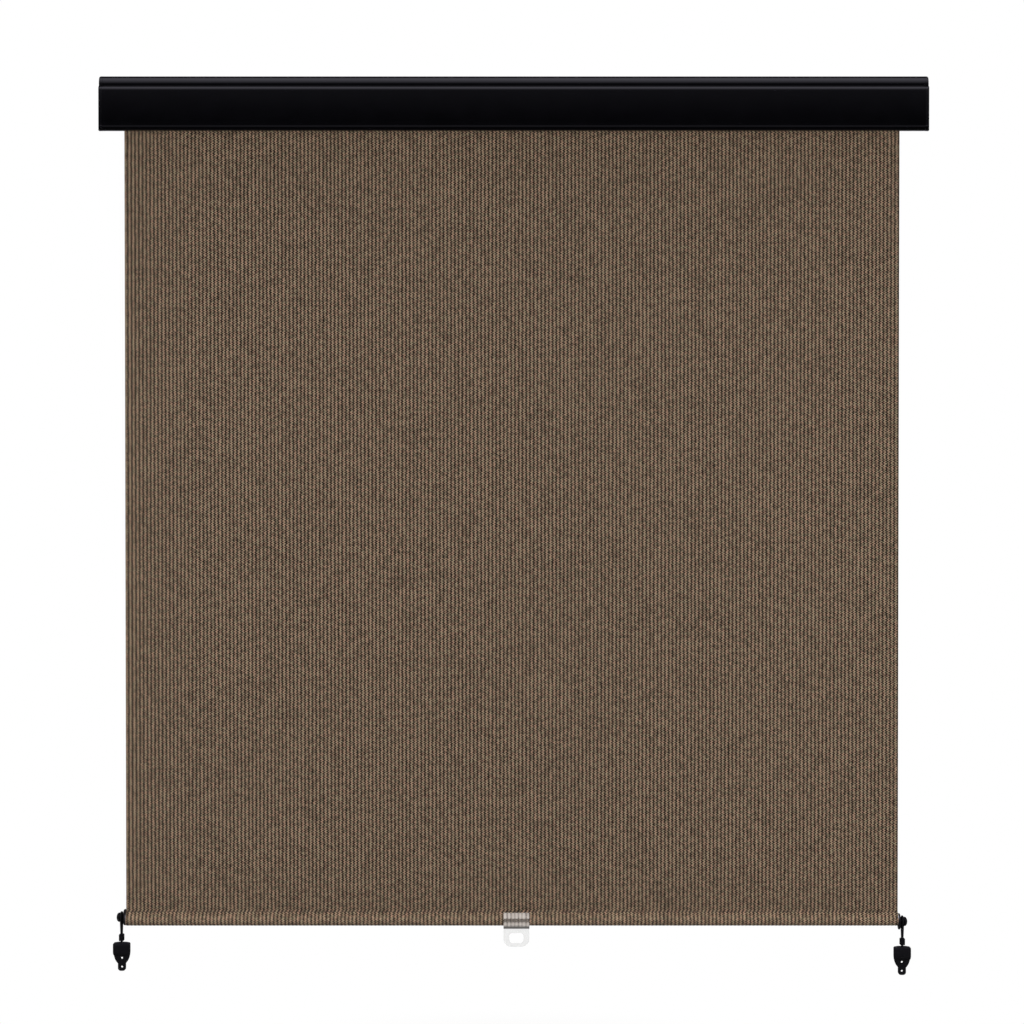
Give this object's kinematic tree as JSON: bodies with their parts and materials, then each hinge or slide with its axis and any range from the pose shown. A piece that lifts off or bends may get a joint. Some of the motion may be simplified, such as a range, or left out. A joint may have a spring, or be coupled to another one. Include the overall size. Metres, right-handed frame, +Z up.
{
  "type": "outdoor roller shade",
  "caption": "Cordless outdoor roller shade: dark valance over a spring roller, brown ribbed knit shade cloth, hem rail with a clear pull clip and tethered hold-down brackets.",
  "frame": {"origin": "centre of the wall screw holes on the wall plane, at the height of the roller's axis", "axes": "+X along the roller to the right as seen from the front, +Y into the wall, +Z up"},
  "size_m": [1.83, 0.1026, 2.0035],
  "materials": {
    "valance_black": "satin near-black extrusion",
    "cap_black": "satin moulded near-black",
    "moulded_black": "moulded black",
    "bracket_steel": "zinc-plated bent sheet steel",
    "shaft_steel": "bright drawn steel",
    "spring_steel": "oiled spring wire",
    "aluminium": "mill-finish extrusion",
    "nylon": "natural nylon",
    "shade_cloth": "ribbed knitted polyethylene shade cloth",
    "clear_plastic": "clear moulded polycarbonate",
    "tether_cord": "black braided elastic cord"
  },
  "bodies": {
    "head": {"valance": "valance_black", "left_end_cap": "cap_black", "right_end_cap": "cap_black", "left_bracket": "bracket_steel", "right_bracket": "bracket_steel", "idle_bush": "nylon", "spring_shaft": "shaft_steel", "shaft_clip": "shaft_steel", "fabric_panel": "shade_cloth"},
    "roller": {"roller_tube": "aluminium", "fabric_roll": "shade_cloth", "fabric_spline": "nylon", "idle_plug": "moulded_black", "idle_pin": "shaft_steel", "spring_plug": "moulded_black", "spring_anchor": "moulded_black", "lift_spring": "spring_steel", "brake_spring": "spring_steel"},
    "rail": {"hem": "shade_cloth", "rail_tube": "aluminium", "left_rail_plug": "moulded_black", "right_rail_plug": "moulded_black", "pull_clip": "clear_plastic"},
    "left_hold_down": {"left_tether": "tether_cord", "left_ferrule": "moulded_black", "left_hold_down_bracket": "moulded_black"},
    "right_hold_down": {"right_tether": "tether_cord", "right_ferrule": "moulded_black", "right_hold_down_bracket": "moulded_black"}
  },
  "joints": [
    {"name": "shade_lift", "type": "slide", "parent": "head", "child": "rail", "axis": [0, 0, 1], "range_m": [0, 1.715], "deforming": ["fabric_panel"]},
    {"name": "roller_spin", "type": "hinge", "parent": "head", "child": "roller", "pos_m": [0, -0.048, 0], "axis": [1, 0, 0], "range_deg": [0, 3292]},
    {"name": "left_hold_down_swing", "type": "hinge", "parent": "rail", "child": "left_hold_down", "pos_m": [-0.8795, -0.02484, -1.8131], "axis": [1, 0, 0], "range_deg": [-80, 8]},
    {"name": "right_hold_down_swing", "type": "hinge", "parent": "rail", "child": "right_hold_down", "pos_m": [0.8715, -0.02484, -1.8225], "axis": [1, 0, 0], "range_deg": [-80, 8]}
  ],
  "couplings": [
    {"joint": "roller_spin", "follows": "shade_lift", "rad_per_m": 33.5}
  ]
}
